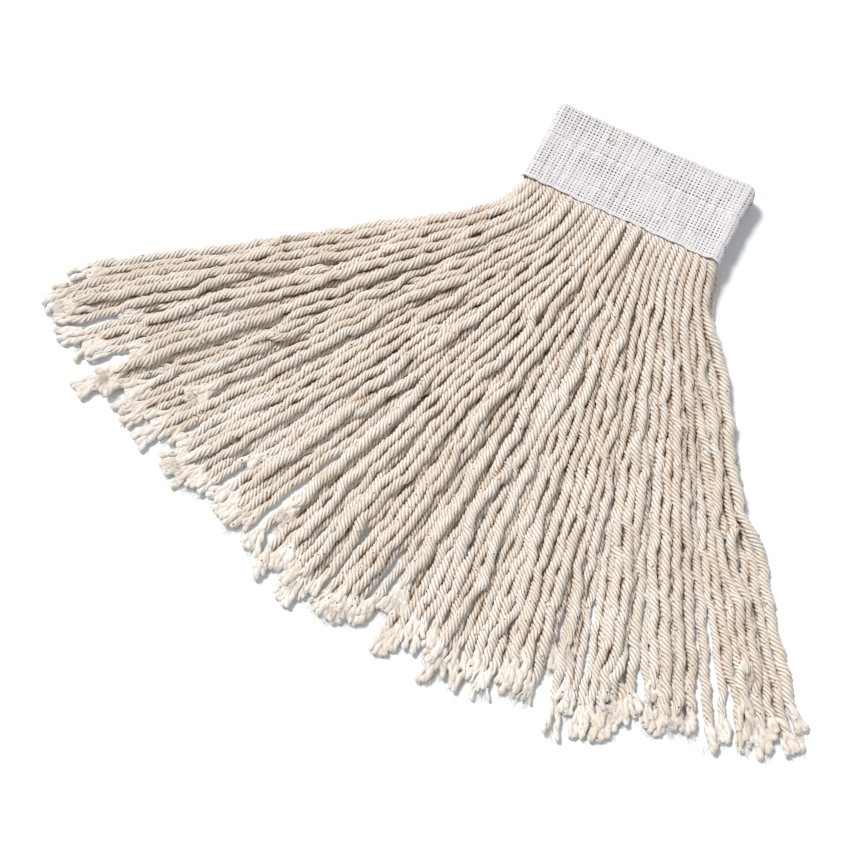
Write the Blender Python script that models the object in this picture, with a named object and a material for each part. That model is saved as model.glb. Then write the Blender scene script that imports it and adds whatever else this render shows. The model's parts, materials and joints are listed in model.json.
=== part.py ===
"""A cut-end string mop head: two folded halves of a mesh headband sewn round a layer of cotton yarn.

Metres, +Z up. X runs along the headband, the yarn ends fan out towards -Y, and the head lies on Z = 0.
The origin is on the headband's underside, midway along it and midway between its two seams.
The lower half is the fixed body. The fold at +Y is a spine with a hinge line along each edge, and each
bundle of yarn ends hinges about the line where it leaves the headband.
"""

import math

import bmesh
import bpy
import numpy as np

# The headband: a sleeve of mesh tape round the yarn, folded in half along its middle
BAND_LENGTH = 0.154
BAND_DEPTH = 0.066
LIP_Y = -0.027
FOLD_Y = LIP_Y + BAND_DEPTH
HALF_THICKNESS = 0.0085
SLOT_HEIGHT = 0.006
MESH_THICKNESS = 0.0012
GAP = 0.0003

# The seams: two rows of stitches that pucker both faces of each half
MOUTH_SEAM_Y = LIP_Y + 0.014
MIDDLE_SEAM_Y = FOLD_Y - 0.4 * BAND_DEPTH
SEAM_DEPTH = 0.0016
SEAM_FLOOR_HALF_WIDTH = 0.0009
SEAM_HALF_WIDTH = 0.0032
THREAD_DIAMETER = 0.001
THREAD_SIDES = 8

# The yarn ends: a fan of bundles, six above and six below
BUNDLES = 6
YARN_REACH = 0.355
MOUTH_HALF_WIDTH = 0.0735
FAN_MIDDLE = math.radians(-9.5)
FAN_HALF_ANGLE = math.radians(45.5)
STRAIGHT_RUN = 0.004
BEND_RUN = 0.030
SIDE_GAP = 0.0016
LAYER_SHIFT = 0.06
RIM_THICKNESS = 0.004
LAYER_GAP = 0.0006
SETTLE_RUN = 0.090
HINGE_CLEARANCE = 0.0005

# What follows from the sizes above
HALF_LENGTH = BAND_LENGTH / 2
HEM_RADIUS = HALF_THICKNESS / 2
PANEL_END_X = HALF_LENGTH - HEM_RADIUS - GAP
LOWER_MIDDLE_Z = HALF_THICKNESS / 2
UPPER_MIDDLE_Z = 1.5 * HALF_THICKNESS + SLOT_HEIGHT
SPINE_Y = FOLD_Y - HEM_RADIUS
HALF_END_Y = SPINE_Y - HEM_RADIUS - 0.0004
KNUCKLE_RADIUS = HALF_THICKNESS / 2 - 0.00025
MOUTH_HINGE_Y = LIP_Y - KNUCKLE_RADIUS - HINGE_CLEARANCE
CORE_INSET = MESH_THICKNESS + GAP

COTTON = ("unbleached_cotton", (0.78, 0.71, 0.59), 0.95)
MESH = ("headband_mesh", (0.82, 0.81, 0.85), 0.6)
THREAD = ("seam_thread", (0.88, 0.87, 0.88), 0.7)


def clear_scene():
    for found in list(bpy.data.objects):
        bpy.data.objects.remove(found)


def material(name, colour, roughness):
    """One Principled material for each sub-part, non-metallic, as every piece here is fibre."""
    made = bpy.data.materials.new(name)
    made.use_nodes = True
    shader = made.node_tree.nodes["Principled BSDF"]
    shader.inputs["Base Color"].default_value = (*colour, 1.0)
    shader.inputs["Roughness"].default_value = roughness
    shader.inputs["Metallic"].default_value = 0.0
    return made


def add_piece(name, finish, points, faces, pivot):
    """A named mesh object whose origin is at pivot, which for a moving piece is on its hinge line."""
    mesh = bpy.data.meshes.new(name)
    mesh.from_pydata([tuple(np.subtract(p, pivot)) for p in points], [], faces)
    shell = bmesh.new()
    shell.from_mesh(mesh)
    bmesh.ops.recalc_face_normals(shell, faces=shell.faces)
    shell.to_mesh(mesh)
    shell.free()
    mesh.materials.append(material(name + "_" + finish[0], *finish[1:]))
    piece = bpy.data.objects.new(name, mesh)
    piece.location = pivot
    bpy.context.scene.collection.objects.link(piece)
    return piece


def prism(outline, along, low, high):
    """Points and faces of an outline carried along X or Y: outline holds (y, z) or (x, z) pairs."""
    place = {"x": lambda a, p: (a, p[0], p[1]), "y": lambda a, p: (p[0], a, p[1])}[along]
    count = len(outline)
    points = [place(a, p) for a in (low, high) for p in outline]
    faces = [(i, (i + 1) % count, count + (i + 1) % count, count + i) for i in range(count)]
    faces.append(tuple(range(count)))
    faces.append(tuple(range(2 * count - 1, count - 1, -1)))
    return points, faces


def arc(centre, radius, start, end, steps):
    """Points on an arc round centre, from start to end in degrees, both included."""
    angles = np.radians(np.linspace(start, end, steps + 1))
    return [(centre[0] + radius * math.cos(a), centre[1] + radius * math.sin(a)) for a in angles]


def puckered_line(low_y, high_y):
    """(y, dip) pairs from low_y to high_y: a straight line with a flat-floored dip at each seam."""
    line = [(low_y, 0.0)]
    for seam in (MOUTH_SEAM_Y, MIDDLE_SEAM_Y):
        line += [
            (seam - SEAM_HALF_WIDTH, 0.0),
            (seam - SEAM_FLOOR_HALF_WIDTH, SEAM_DEPTH),
            (seam + SEAM_FLOOR_HALF_WIDTH, SEAM_DEPTH),
            (seam + SEAM_HALF_WIDTH, 0.0),
        ]
    line.append((high_y, 0.0))
    return line


def panel_outline(face_z, inward):
    """A mesh panel in (y, z), its outer face at face_z and its thickness running inward, +1 or -1."""
    line = puckered_line(LIP_Y, HALF_END_Y)
    outer = [(y, face_z + inward * dip) for y, dip in line]
    inner = [(y, face_z + inward * (dip + MESH_THICKNESS)) for y, dip in line]
    return outer + inner[::-1]


def core_outline(base_z):
    """The yarn layer inside one half, in (y, z), pinched at the seams from both faces."""
    line = puckered_line(LIP_Y, HALF_END_Y)
    bottom = [(y, base_z + CORE_INSET + dip) for y, dip in line]
    top = [(y, base_z + HALF_THICKNESS - CORE_INSET - dip) for y, dip in line]
    return bottom + top[::-1]


def hem_outline(side, middle_z):
    """The tape's rolled side edge in (x, z): half a ring that opens towards the yarn."""
    centre = (side * (HALF_LENGTH - HEM_RADIUS), middle_z)
    turn = 0 if side > 0 else 180
    outer = arc(centre, HEM_RADIUS, turn - 90, turn + 90, 10)
    inner = arc(centre, HEM_RADIUS - MESH_THICKNESS, turn + 90, turn - 90, 10)
    return outer + inner


def add_half(half, base_z, pivot):
    """One half of the headband: two mesh panels, two side hems, the yarn between them and its seams."""
    top_z = base_z + HALF_THICKNESS
    middle_z = base_z + HALF_THICKNESS / 2
    below, above = ("outer", "inner") if half == "lower" else ("inner", "outer")
    x_span = (-PANEL_END_X, PANEL_END_X)
    core_reach = HALF_LENGTH - HEM_RADIUS + 0.001
    add_piece(f"{half}_{below}_mesh", MESH, *prism(panel_outline(base_z, 1), "x", *x_span), pivot)
    add_piece(f"{half}_{above}_mesh", MESH, *prism(panel_outline(top_z, -1), "x", *x_span), pivot)
    core = prism(core_outline(base_z), "x", -core_reach, core_reach)
    add_piece(f"{half}_yarn_layer", COTTON, *core, pivot)
    for side, side_name in ((-1, "left"), (1, "right")):
        hem = prism(hem_outline(side, middle_z), "y", LIP_Y, HALF_END_Y)
        add_piece(f"{half}_{side_name}_hem", MESH, *hem, pivot)
    for seam, seam_y in (("mouth", MOUTH_SEAM_Y), ("middle", MIDDLE_SEAM_Y)):
        for face, face_z, inward in ((below, base_z, 1), (above, top_z, -1)):
            height = face_z + inward * (SEAM_DEPTH - GAP - THREAD_DIAMETER / 2)
            ring = arc((seam_y, height), THREAD_DIAMETER / 2, 0, 360, THREAD_SIDES)[:-1]
            thread = prism(ring, "x", *x_span)
            add_piece(f"{half}_{seam}_seam_{face}_thread", THREAD, *thread, pivot)


def stadium(radius):
    """The fold's upright section in (y, z): a straight run with a half round at each hinge line."""
    lower = arc((SPINE_Y, LOWER_MIDDLE_Z), radius, 180, 360, 12)
    upper = arc((SPINE_Y, UPPER_MIDDLE_Z), radius, 0, 180, 12)
    return lower + upper


def fold_skin_outline():
    """The tape round the outside of the fold in (y, z): an open shell one tape thick."""
    outer = arc((SPINE_Y, LOWER_MIDDLE_Z), HEM_RADIUS, -90, 0, 6)
    outer += arc((SPINE_Y, UPPER_MIDDLE_Z), HEM_RADIUS, 0, 90, 6)
    radius = HEM_RADIUS - MESH_THICKNESS
    inner = arc((SPINE_Y, UPPER_MIDDLE_Z), radius, 90, 0, 6)
    inner += arc((SPINE_Y, LOWER_MIDDLE_Z), radius, 0, -90, 6)
    return outer + inner


def add_fold():
    """The folded middle of the headband, which turns outwards as the two halves open."""
    pivot = (0.0, SPINE_Y, LOWER_MIDDLE_Z)
    inside = HALF_LENGTH - MESH_THICKNESS - GAP
    add_piece("fold_outer_mesh", MESH, *prism(fold_skin_outline(), "x", -inside, inside), pivot)
    core = prism(stadium(HEM_RADIUS - CORE_INSET), "x", -inside, inside)
    add_piece("fold_yarn_layer", COTTON, *core, pivot)
    near, far = SPINE_Y - HEM_RADIUS, SPINE_Y - HEM_RADIUS + MESH_THICKNESS
    low, high = LOWER_MIDDLE_Z, UPPER_MIDDLE_Z
    strip = [(near, low), (far, low), (far, high), (near, high)]
    add_piece("fold_inner_mesh", MESH, *prism(strip, "x", -inside, inside), pivot)
    for side, side_name in ((-1, "left"), (1, "right")):
        ends = sorted((side * HALF_LENGTH, side * (HALF_LENGTH - MESH_THICKNESS)))
        cap = prism(stadium(HEM_RADIUS), "x", *ends)
        add_piece(f"fold_{side_name}_hem", MESH, *cap, pivot)


def ease(value):
    """0 up to 0, 1 from 1 on, and a smooth step between."""
    value = min(max(value, 0.0), 1.0)
    return value * value * (3.0 - 2.0 * value)


def fan_point(share, reach):
    """(x, y) of the yarn that leaves the mouth at share, -1 left to 1 right, after reach along it.

    It leaves square to the lip and turns over BEND_RUN into its own direction in the fan.
    """
    x, y = share * MOUTH_HALF_WIDTH, MOUTH_HINGE_Y
    if reach <= 0.0:
        return x, y - reach
    turn = FAN_MIDDLE + share * FAN_HALF_ANGLE
    steps = max(2, round(reach / 0.002))
    step = reach / steps
    for i in range(steps):
        heading = turn * ease(((i + 0.5) * step - STRAIGHT_RUN) / BEND_RUN)
        x += step * math.sin(heading)
        y -= step * math.cos(heading)
    return x, y


def lower_heights(reach):
    """Bottom and top of the lower bundles at a distance from the hinge line: a plain wedge."""
    share = min(reach / YARN_REACH, 1.0)
    mouth_top = LOWER_MIDDLE_Z + KNUCKLE_RADIUS
    return 0.0, mouth_top + share * (RIM_THICKNESS - mouth_top)


def upper_heights(reach):
    """Bottom and top of the upper bundles, which settle from the slot's height onto the lower ones."""
    settled = lower_heights(reach)[1] + LAYER_GAP
    mouth_bottom = UPPER_MIDDLE_Z - KNUCKLE_RADIUS
    settling = ease((reach - STRAIGHT_RUN) / SETTLE_RUN)
    bottom = mouth_bottom + settling * (settled - mouth_bottom)
    share = min(reach / YARN_REACH, 1.0)
    thickness = 2 * KNUCKLE_RADIUS + share * (RIM_THICKNESS - 2 * KNUCKLE_RADIUS)
    return bottom, bottom + thickness


def bundle_sections(heights, middle_z):
    """(reach, bottom, top) down one bundle: a round knuckle at the hinge line, then the fan's height."""
    sections = []
    for angle in (25, 50, 72):
        half_height = KNUCKLE_RADIUS * math.sin(math.radians(angle))
        back = -KNUCKLE_RADIUS * math.cos(math.radians(angle))
        sections.append((back, middle_z - half_height, middle_z + half_height))
    for reach in (0.0, 0.008, 0.014, 0.020, 0.027, 0.036, 0.060, 0.095, 0.180, 0.265, YARN_REACH):
        bottom, top = heights(reach)
        if reach == 0.0:
            bottom = middle_z - KNUCKLE_RADIUS
        sections.append((reach, bottom, top))
    return sections


def bundle_shell(left, right, sections):
    """Points and faces of one bundle, lofted between its left and right yarns through its sections."""
    points = []
    for reach, bottom, top in sections:
        for share in (left, (left + right) / 2, right):
            x, y = fan_point(share, reach)
            x += SIDE_GAP / 2 * ((share == left) - (share == right))
            points += [(x, y, bottom), (x, y, top)]
    ring = (0, 2, 4, 5, 3, 1)
    faces = []
    for row in range(len(sections) - 1):
        for a, b in zip(ring, ring[1:] + ring[:1]):
            faces.append((6 * row + a, 6 * row + b, 6 * row + 6 + b, 6 * row + 6 + a))
    last = 6 * (len(sections) - 1)
    faces += [(0, 2, 3, 1), (2, 4, 5, 3)]
    faces += [(last, last + 2, last + 3, last + 1), (last + 2, last + 4, last + 5, last + 3)]
    return points, faces


def add_bundles(layer, heights, middle_z, shift):
    """Six bundles side by side. shift moves the inner boundaries, so the layers' joins don't line up."""
    shares = [-1.0 + 2.0 * i / BUNDLES for i in range(BUNDLES + 1)]
    edges = [s + shift * (abs(s) < 0.99) for s in shares]
    sections = bundle_sections(heights, middle_z)
    for i in range(BUNDLES):
        pivot = ((edges[i] + edges[i + 1]) / 2 * MOUTH_HALF_WIDTH, MOUTH_HINGE_Y, middle_z)
        shell = bundle_shell(edges[i], edges[i + 1], sections)
        add_piece(f"{layer}_yarn_bundle_{i + 1}", COTTON, *shell, pivot)


def main():
    clear_scene()
    add_half("lower", 0.0, (0.0, 0.0, 0.0))
    add_fold()
    add_half("upper", HALF_THICKNESS + SLOT_HEIGHT, (0.0, SPINE_Y, UPPER_MIDDLE_Z))
    add_bundles("lower", lower_heights, LOWER_MIDDLE_Z, -LAYER_SHIFT)
    add_bundles("upper", upper_heights, UPPER_MIDDLE_Z, LAYER_SHIFT)


main()
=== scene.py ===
"""The finished look of a cut-end string mop head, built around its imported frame.

A headband of open-mesh tape is folded in half round a layer of cotton yarn. The cut yarn ends come out
of its mouth in two layers, lie in a fan on the floor and end in soft, untwisted tips.
Lengths are metres. X runs along the headband, the ends lie towards -Y, and Z is up from the floor.
"""

import json
import math

import bmesh
import bpy
import numpy as np
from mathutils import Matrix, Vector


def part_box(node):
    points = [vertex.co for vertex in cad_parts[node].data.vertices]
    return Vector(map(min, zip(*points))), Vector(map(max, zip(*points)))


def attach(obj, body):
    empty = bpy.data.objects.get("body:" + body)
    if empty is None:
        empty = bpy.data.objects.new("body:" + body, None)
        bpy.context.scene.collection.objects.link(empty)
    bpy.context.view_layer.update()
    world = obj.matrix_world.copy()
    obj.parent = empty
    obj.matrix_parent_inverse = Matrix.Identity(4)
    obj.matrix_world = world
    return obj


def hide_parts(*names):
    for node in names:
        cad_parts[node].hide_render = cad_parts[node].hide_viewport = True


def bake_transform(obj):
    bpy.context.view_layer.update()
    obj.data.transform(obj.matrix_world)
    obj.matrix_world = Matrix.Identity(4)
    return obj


bl_info = {
    "name": "String Mop Head",
    "version": (1, 0, 0),
    "blender": (4, 5, 0),
    "location": "View3D > Sidebar > Mop",
    "description": "A cut-end cotton string mop head with a folded mesh headband",
    "category": "Add Mesh",
}

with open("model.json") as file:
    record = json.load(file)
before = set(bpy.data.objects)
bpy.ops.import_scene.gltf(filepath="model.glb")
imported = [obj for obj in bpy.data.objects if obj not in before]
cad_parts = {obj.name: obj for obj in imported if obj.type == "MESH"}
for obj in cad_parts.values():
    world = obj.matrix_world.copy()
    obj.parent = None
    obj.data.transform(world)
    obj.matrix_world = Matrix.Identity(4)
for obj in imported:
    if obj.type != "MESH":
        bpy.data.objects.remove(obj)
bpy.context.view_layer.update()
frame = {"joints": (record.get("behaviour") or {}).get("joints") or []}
HINGES = {joint["name"]: joint["pos_m"] for joint in frame["joints"]}

# The headband's sizes, read from the frame
HALF_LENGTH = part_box("fold_right_hem")[1].x
LIP_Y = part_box("upper_outer_mesh")[0].y
LOWER_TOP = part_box("lower_inner_mesh")[1].z
SPINE_Y, LOWER_MIDDLE = HINGES["fold_opens_lower"][1:]
UPPER_MIDDLE = HINGES["fold_opens_upper"][2]
SLEEVE_RADIUS = LOWER_TOP / 2
FLAT_HALF = HALF_LENGTH - SLEEVE_RADIUS
RUN = SPINE_Y - LIP_Y
DROP = UPPER_MIDDLE - LOWER_MIDDLE
ARC = math.pi / 2 * SLEEVE_RADIUS
MOUTH_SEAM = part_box("upper_mouth_seam_outer_thread")
MIDDLE_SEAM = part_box("upper_middle_seam_outer_thread")
SEAMS_FROM_LIP = [(box[0].y + box[1].y) / 2 - LIP_Y for box in (MOUTH_SEAM, MIDDLE_SEAM)]

# The yarn ends' fan, as the frame's bundles have it, and how finely the yarn is made
HINGE_Y = HINGES["lower_yarn_1_swings"][1]
YARN_REACH = 0.355
MOUTH_HALF_WIDTH = 0.0735
FAN_MIDDLE = math.radians(-9.5)
FAN_HALF_ANGLE = math.radians(45.5)
STRAIGHT_RUN = 0.004
BEND_RUN = 0.030
LAYER_SHIFT = 0.06
BUNDLES = 6
INSIDE_RUN = 0.016
RING_STEP = 0.0015
PLY_SIDES = 4
YARN_LINKS = 124
MOST_CORDS = 40
HAIRS = 12
CREVICE_WAYS = 12
SETTLING_ROUNDS = 320
RIB_SPACING = 0.00613
CLEARANCE = 0.00012
FLOOR_REACH = 40

# How a cut tip opens: how many plies, their radius, how fast they part, how loosely each strays, how flat
# they are, how unevenly they are cut, and over how many radii their ends close
TIPS = {
    "fingers": {"count": (2, 5), "radius": (0.0021, 0.0029), "part": (0.08, 0.36), "loose": 3.2,
                "flat": 0.95, "uneven": 0.30, "blunt": 1.1},
    "brush": {"count": (4, 7), "radius": (0.0021, 0.0028), "part": (0.16, 0.36), "loose": 0.9,
              "flat": 0.80, "uneven": 0.09, "blunt": 0.7},
    "wisps": {"count": (5, 8), "radius": (0.0009, 0.0013), "part": (0.10, 0.28), "loose": 6.0,
              "flat": 1.0, "uneven": 0.35, "blunt": 1.4},
}


class MopYarn(bpy.types.PropertyGroup):
    """Sizes and colours of the cotton yarn."""

    diameter: bpy.props.FloatProperty(
        name="Diameter", description="Thickness of one yarn", default=0.0070, unit="LENGTH"
    )
    plies: bpy.props.IntProperty(
        name="Plies", description="Strands twisted together in one yarn", default=5, min=2, max=9
    )
    pitch: bpy.props.FloatProperty(
        name="Pitch", description="Length of one turn of the twist", default=0.0172, unit="LENGTH"
    )
    groove: bpy.props.FloatProperty(
        name="Groove", description="Depth between plies, as a share of the radius", default=0.31
    )
    ends_per_row: bpy.props.IntProperty(
        name="Ends per row", description="Yarns side by side in each of four rows", default=28
    )
    wander: bpy.props.FloatProperty(
        name="Wander", description="How far a yarn's heading strays", default=0.085, subtype="ANGLE"
    )
    light: bpy.props.FloatVectorProperty(
        name="Light cotton", description="Colour of the clean cotton", subtype="COLOR",
        default=(0.93, 0.907, 0.874),
    )
    dark: bpy.props.FloatVectorProperty(
        name="Dark cotton", description="Colour of the unbleached streaks", subtype="COLOR",
        default=(0.80, 0.722, 0.632),
    )
    # Painted shade: the brown put into the grooves between plies and the crevices between yarns.
    painted_groove_shade: bpy.props.FloatVectorProperty(
        name="Between plies", description="Colour of grooves and crevices", subtype="COLOR",
        default=(0.41, 0.235, 0.115),
    )
    fleck: bpy.props.FloatVectorProperty(
        name="Seed flecks", description="Colour of the bits of seed husk", subtype="COLOR",
        default=(0.16, 0.09, 0.045),
    )
    seed: bpy.props.IntProperty(name="Seed", description="Chooses one lie of the yarns", default=11)


class MopHeadband(bpy.types.PropertyGroup):
    """Sizes and colours of the headband's mesh tape and its stitching."""

    cell_across: bpy.props.FloatProperty(
        name="Cell along band", description="Mesh spacing along the headband", default=0.0027,
        unit="LENGTH",
    )
    cell_along: bpy.props.FloatProperty(
        name="Cell along yarn", description="Mesh spacing along the yarn", default=0.0024,
        unit="LENGTH",
    )
    hole: bpy.props.FloatProperty(
        name="Hole", description="Width of a mesh hole, as a share of its cell", default=0.40
    )
    tape: bpy.props.FloatProperty(
        name="Tape", description="Thickness of the mesh tape", default=0.0009, unit="LENGTH"
    )
    stitch: bpy.props.FloatProperty(
        name="Stitch", description="Length of one stitch", default=0.0034, unit="LENGTH"
    )
    colour: bpy.props.FloatVectorProperty(
        name="Tape colour", description="Colour of the mesh tape", subtype="COLOR",
        default=(0.86, 0.84, 0.86),
    )
    # Used for the duller threads and for the painted shade along the fold.
    shade: bpy.props.FloatVectorProperty(
        name="Tape shade", description="Colour of the tape's duller threads", subtype="COLOR",
        default=(0.74, 0.70, 0.725),
    )
    thread: bpy.props.FloatVectorProperty(
        name="Thread colour", description="Colour of the sewing thread", subtype="COLOR",
        default=(0.92, 0.90, 0.92),
    )


class MopStage(bpy.types.PropertyGroup):
    """The floor, the light and the camera."""

    floor: bpy.props.FloatVectorProperty(
        name="Floor", description="Colour of the floor", subtype="COLOR", default=(0.88, 0.925, 0.97)
    )
    key_power: bpy.props.FloatProperty(
        name="Key light", description="Strength of the soft key light", default=3.0
    )
    azimuth: bpy.props.FloatProperty(
        name="Azimuth", description="Camera's turn round the head", default=math.radians(27.0),
        subtype="ANGLE",
    )
    elevation: bpy.props.FloatProperty(
        name="Elevation", description="Camera's height angle", default=math.radians(70.0),
        subtype="ANGLE",
    )


def ease(value):
    """0 up to 0, 1 from 1 on, and between them 3v^2 - 2v^3."""
    value = np.clip(value, 0.0, 1.0)
    return value * value * (3.0 - 2.0 * value)


def ripple(at, rng, longest, shortest, terms=4):
    """Smooth noise along a length, about -1 to 1: a sum of sines whose wavelengths lie between the two."""
    waves = np.geomspace(longest, shortest, terms)
    total = np.zeros_like(at)
    for wave in waves:
        total = total + math.sqrt(wave / longest) * np.sin(2 * np.pi * (at / wave + rng.random()))
    return total / 1.7


def unit(vectors):
    """Each vector divided by its length."""
    return vectors / np.maximum(np.linalg.norm(vectors, axis=-1, keepdims=True), 1e-12)


def travelled_along(line):
    """How far along the line each of its points lies."""
    return np.concatenate([[0], np.cumsum(np.linalg.norm(np.diff(line, axis=0), axis=1))])


def grid_quads(rows, columns, closed=False, start=0):
    """Four corners of each cell of a grid numbered row by row; closed joins the last column to the first.
    The first corner and the third are the ends of the shorter diagonal where the columns twist forwards."""
    across = columns if closed else columns - 1
    i, j = np.meshgrid(np.arange(rows - 1), np.arange(across), indexing="ij")
    k = (j + 1) % columns
    quads = np.stack([i * columns + k, (i + 1) * columns + k, (i + 1) * columns + j, i * columns + j], -1)
    return start + quads.reshape(-1, 4)


class Shell:
    """Collects surfaces into one mesh, with a UV for each corner and two numbers for each point: its tone,
    and how unshaded it is, from 0 where painted shade is darkest, in grooves and crevices, to 1 on a ridge."""

    def __init__(self):
        self.points, self.faces, self.uvs, self.tones, self.raised, self.count = [], [], [], [], [], 0

    def add(self, points, faces, uvs, tone=0.5, raised=1.0):
        """Adds one surface: faces count from 0, and uvs hold one pair for each corner of each face.
        Nothing reaches below the floor."""
        points = np.array(points, float).reshape(-1, 3)
        points[:, 2] = np.maximum(points[:, 2], CLEARANCE)
        self.points.append(points)
        self.faces += (np.asarray(faces) + self.count).tolist()
        self.uvs.append(np.asarray(uvs, float).reshape(-1, 2))
        self.tones.append(np.broadcast_to(np.asarray(tone, float).reshape(-1), len(points)))
        self.raised.append(np.broadcast_to(np.asarray(raised, float).reshape(-1), len(points)))
        self.count += len(points)

    def cap(self, ring, uv=(0.0, 0.0)):
        """Closes a ring of the mesh's point numbers."""
        self.faces.append([int(i) for i in ring])
        self.uvs.append(np.tile(uv, (len(ring), 1)))

    def piece(self, name, material):
        """The mesh object, smooth shaded, at the origin."""
        mesh = bpy.data.meshes.new(name)
        mesh.from_pydata(np.concatenate(self.points).tolist(), [], self.faces)
        layer = mesh.uv_layers.new(name="UVMap")
        layer.data.foreach_set("uv", np.concatenate(self.uvs).astype(np.float32).ravel())
        for label, values in (("tone", self.tones), ("raised", self.raised)):
            made = mesh.attributes.new(label, "FLOAT", "POINT")
            made.data.foreach_set("value", np.concatenate(values).astype(np.float32))
        mesh.shade_smooth()
        mesh.materials.append(material)
        made = bpy.data.objects.new(name, mesh)
        bpy.context.scene.collection.objects.link(made)
        return made


def add_tube(shell, line, side_way, up_way, width, height, turn, lobes, groove, sides, tone, swell=None,
             pale=0.0, crevice=0.0):
    """Adds a tube to shell: ring i's point j lies at angle a = 2 pi j / sides + turn_i round the line.

    Its distance out is (1 - groove (1 - |sin(lobes a0 / 2)|)) times width across and height up, where a0 is
    the angle before the turn, so the ridges follow the twist. Both ends are closed. Each point gets an
    unshaded
    value that sets its painted shade: 1 on a ridge and less in a groove; pale lessens the difference, and
    crevice lowers it towards neighbouring yarns, where the shade between yarns is painted.
    """
    rings = len(line)
    flat = 2 * np.pi * np.arange(sides) / sides
    angle = flat[None, :] + np.asarray(turn).reshape(-1, 1)
    depth = np.broadcast_to(np.reshape(groove, (-1, 1)), (rings, 1))
    ridge = np.abs(np.sin(lobes * flat / 2)) if lobes else np.ones(sides)
    raised = np.broadcast_to((pale + (1 - pale) * (0.28 + 0.72 * ridge)) * (1 - crevice), (rings, sides))
    out = 1 - depth * (1 - ridge)
    out = out if swell is None else out * swell
    across = (out * np.cos(angle))[..., None] * side_way[:, None, :] * np.reshape(width, (-1, 1, 1))
    above = (out * np.sin(angle))[..., None] * up_way[:, None, :] * np.reshape(height, (-1, 1, 1))
    points = line[:, None, :] + across + above
    quads = grid_quads(rings, sides, closed=True)
    travelled = travelled_along(line)
    i, j = np.meshgrid(np.arange(rings - 1), np.arange(sides), indexing="ij")
    u = np.stack([j + 1, j + 1, j, j], -1) / sides
    v = np.stack([travelled[i], travelled[i + 1], travelled[i + 1], travelled[i]], -1)
    first = shell.count
    shell.add(points, quads, np.stack([u, v], -1), tone, raised)
    shell.cap(first + np.arange(sides)[::-1])
    shell.cap(first + (rings - 1) * sides + np.arange(sides))


def frames_along(line):
    """Along, sideways and upward directions at each point of a line that never stands upright."""
    along = unit(np.gradient(line, axis=0))
    side_way = unit(np.cross(along, np.array([0.0, 0.0, 1.0])))
    return along, side_way, np.cross(side_way, along)


def respaced(line, step):
    """The line with points a step apart along it, its corners rounded off by averaging."""
    travelled = travelled_along(line)
    at = np.linspace(0, travelled[-1], max(3, int(round(travelled[-1] / step)) + 1))
    new = np.stack([np.interp(at, travelled, line[:, k]) for k in range(3)], -1)
    for _ in range(3):
        new[1:-1] = new[:-2] / 4 + new[1:-1] / 2 + new[2:] / 4
    return new


def limp(line, rng):
    """The line with a slack yarn's small kinks: sideways noise of short wavelengths, none at the mouth."""
    _, side_way, _ = frames_along(line)
    at = np.arange(len(line)) * RING_STEP
    kinks = 0.00085 * ripple(at, rng, 0.042, 0.012, 4) * ease((at - 0.03) / 0.05)
    return line + kinks[:, None] * side_way


# Materials


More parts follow.
